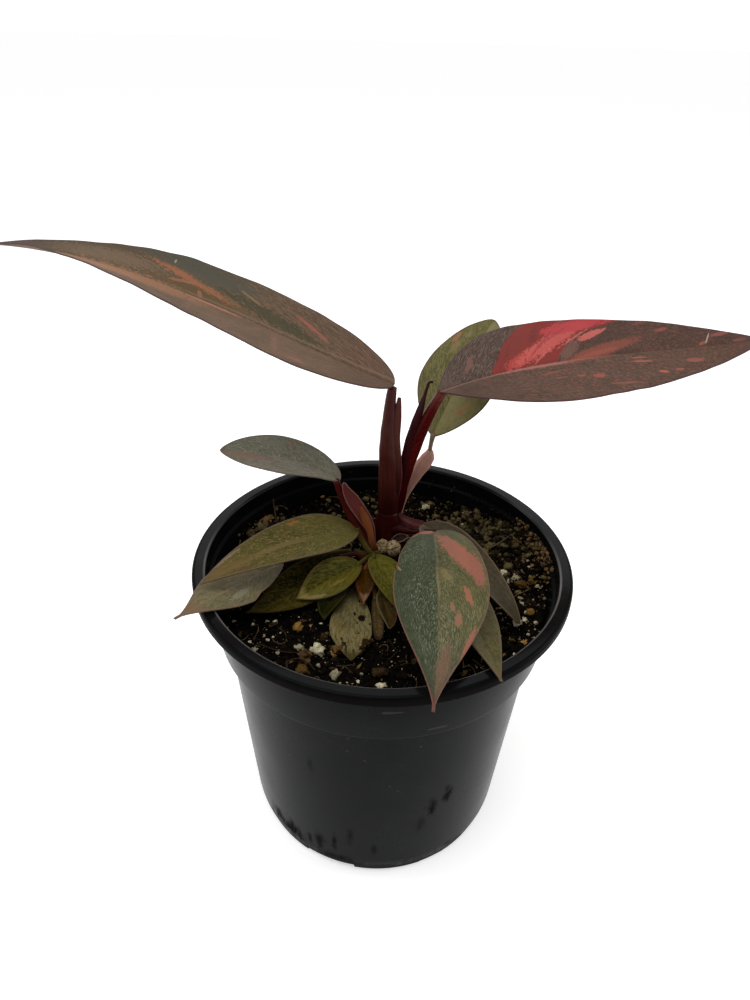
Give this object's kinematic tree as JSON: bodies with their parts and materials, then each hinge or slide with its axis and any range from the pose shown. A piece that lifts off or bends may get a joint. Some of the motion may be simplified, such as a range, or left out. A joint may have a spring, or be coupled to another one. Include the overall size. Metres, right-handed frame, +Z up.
{
  "type": "potted philodendron",
  "caption": "Young philodendron with pointed, salmon-variegated leaves on dark red stalks, growing from potting mix in a round black nursery pot.",
  "frame": {"origin": "centre of the pot's flat underside", "axes": "+Z up along the pot's axis, -Y towards the side with the large front leaf, X along the spread of the two tallest leaves"},
  "size_m": [0.2278, 0.1131, 0.1694],
  "materials": {
    "pot": "satin black moulded polypropylene",
    "soil": "crumbly dark potting mix with bark and perlite",
    "stem": "smooth dark maroon",
    "side_shoot": "smooth brown-olive",
    "upper_left_leaf_petiole": "satin red-brown",
    "upper_right_leaf_petiole": "satin deep red",
    "back_leaf_sheath": "matt dusty pink",
    "back_leaf_petiole": "matt pale tan",
    "amber_bract": "translucent amber brown",
    "olive_leaf_petiole": "satin yellow-olive",
    "side_leaf_petiole": "satin dark maroon with a pink-edged sheath",
    "front_leaf_petiole": "satin dark brown-red",
    "right_leaf_petiole": "satin dusty maroon",
    "upper_left_leaf_blade": "satin olive-brown with salmon streaks",
    "upper_right_leaf_blade": "satin brown with a coral-red patch",
    "back_leaf_blade": "satin green with salmon flecks",
    "side_leaf_blade": "satin grey-green with a pale rim",
    "olive_leaf_blade": "satin olive with tan flecks",
    "front_leaf_blade": "satin grey-green with a salmon patch",
    "right_leaf_blade": "satin dark olive-brown",
    "left_leaf_over_rim": "satin grey-green",
    "dark_olive_leaf": "satin dark olive",
    "small_green_leaf": "satin green",
    "rust_bract": "satin orange-brown",
    "centre_green_leaf": "satin green",
    "tiny_green_leaf": "satin dark green",
    "faded_leaf": "dull tan-olive, ageing",
    "small_grey_leaf": "dull grey-green",
    "dried_strip_leaf": "dry brown",
    "front_right_leaf": "satin olive with tan stripes",
    "dry_leaf_base": "dry papery tan",
    "perlite_lump": "rough cream-white foamed mineral"
  },
  "bodies": {
    "root": {"pot": "pot", "soil": "soil", "stem": "stem", "side_shoot": "side_shoot", "upper_left_leaf_petiole": "upper_left_leaf_petiole", "upper_right_leaf_petiole": "upper_right_leaf_petiole", "back_leaf_sheath": "back_leaf_sheath", "back_leaf_petiole": "back_leaf_petiole", "amber_bract": "amber_bract", "olive_leaf_petiole": "olive_leaf_petiole", "side_leaf_petiole": "side_leaf_petiole", "front_leaf_petiole": "front_leaf_petiole", "right_leaf_petiole": "right_leaf_petiole", "upper_left_leaf_blade": "upper_left_leaf_blade", "upper_right_leaf_blade": "upper_right_leaf_blade", "back_leaf_blade": "back_leaf_blade", "side_leaf_blade": "side_leaf_blade", "olive_leaf_blade": "olive_leaf_blade", "front_leaf_blade": "front_leaf_blade", "right_leaf_blade": "right_leaf_blade", "left_leaf_over_rim": "left_leaf_over_rim", "dark_olive_leaf": "dark_olive_leaf", "small_green_leaf": "small_green_leaf", "rust_bract": "rust_bract", "centre_green_leaf": "centre_green_leaf", "tiny_green_leaf": "tiny_green_leaf", "faded_leaf": "faded_leaf", "small_grey_leaf": "small_grey_leaf", "dried_strip_leaf": "dried_strip_leaf", "front_right_leaf": "front_right_leaf", "dry_leaf_base": "dry_leaf_base", "perlite_lump": "perlite_lump"}
  },
  "joints": []
}
